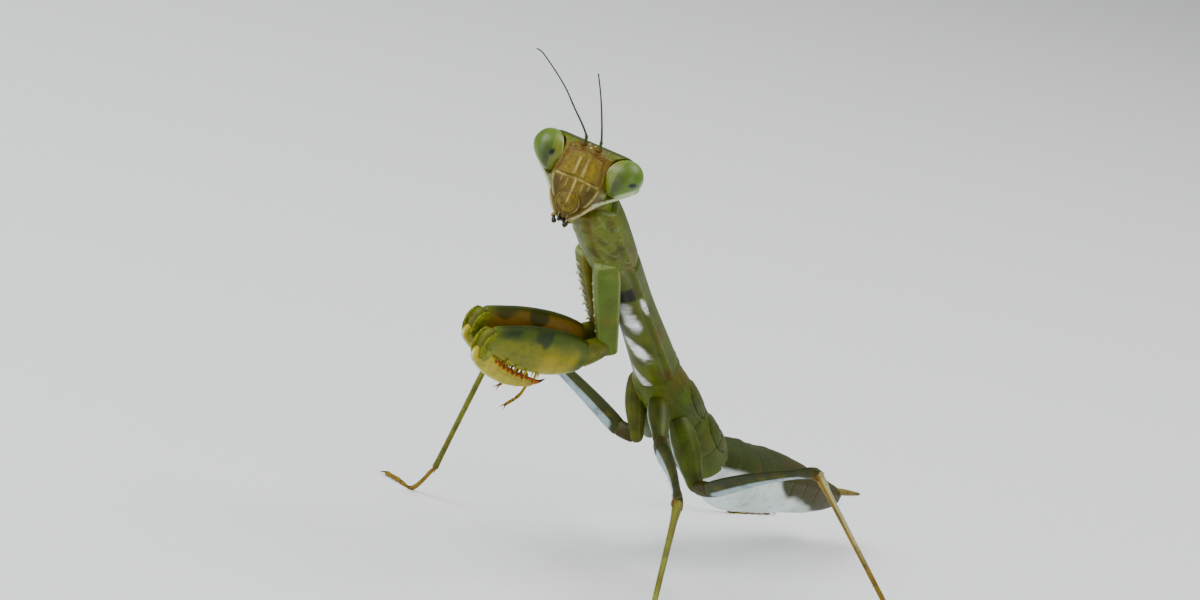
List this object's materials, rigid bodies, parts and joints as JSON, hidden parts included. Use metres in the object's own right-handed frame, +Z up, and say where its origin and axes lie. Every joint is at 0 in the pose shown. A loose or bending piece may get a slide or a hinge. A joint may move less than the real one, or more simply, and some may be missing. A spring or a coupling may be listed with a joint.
{
  "type": "praying mantis",
  "caption": "Still life-size model of a young praying mantis standing on four legs, chest raised, fore legs folded in front and head turned to its left.",
  "frame": {"origin": "on the floor, below the middle of the model's outline seen from above", "axes": "+Z up, the body points along -Y, the animal's own left side is on +X"},
  "size_m": [0.0336, 0.0396, 0.028],
  "materials": {
    "cuticle": "satin brown-olive cuticle with darker mottling",
    "face": "satin ochre-brown face with pale stripes",
    "eye": "glossy translucent green compound eye",
    "belly": "pale grey-white underside, brown-olive back",
    "fore_leg": "satin yellow-olive with dark patches",
    "walking_leg": "satin brown with a pale line",
    "feeler": "dark green-black"
  },
  "bodies": {
    "root": {"abdomen": "belly", "antenna_left": "feeler", "antenna_right": "feeler", "cercus_left": "cuticle", "cercus_right": "cuticle", "eye_left": "eye", "eye_right": "eye", "fore_left_coxa": "fore_leg", "fore_left_femur": "fore_leg", "fore_left_tarsus": "fore_leg", "fore_left_tibia": "fore_leg", "fore_left_trochanter": "fore_leg", "fore_right_coxa": "fore_leg", "fore_right_femur": "fore_leg", "fore_right_tarsus": "fore_leg", "fore_right_tibia": "fore_leg", "fore_right_trochanter": "fore_leg", "head": "face", "hind_left_coxa": "walking_leg", "hind_left_femur": "walking_leg", "hind_left_tarsus": "walking_leg", "hind_left_tibia": "walking_leg", "hind_left_trochanter": "walking_leg", "hind_right_coxa": "walking_leg", "hind_right_femur": "walking_leg", "hind_right_tarsus": "walking_leg", "hind_right_tibia": "walking_leg", "hind_right_trochanter": "walking_leg", "jaws": "face", "labrum": "face", "mesothorax": "cuticle", "metathorax": "cuticle", "mid_left_coxa": "walking_leg", "mid_left_femur": "walking_leg", "mid_left_tarsus": "walking_leg", "mid_left_tibia": "walking_leg", "mid_left_trochanter": "walking_leg", "mid_right_coxa": "walking_leg", "mid_right_femur": "walking_leg", "mid_right_tarsus": "walking_leg", "mid_right_tibia": "walking_leg", "mid_right_trochanter": "walking_leg", "neck": "cuticle", "prothorax": "cuticle", "wing_pad_fore_left": "cuticle", "wing_pad_fore_right": "cuticle", "wing_pad_hind_left": "cuticle", "wing_pad_hind_right": "cuticle"}
  },
  "joints": []
}
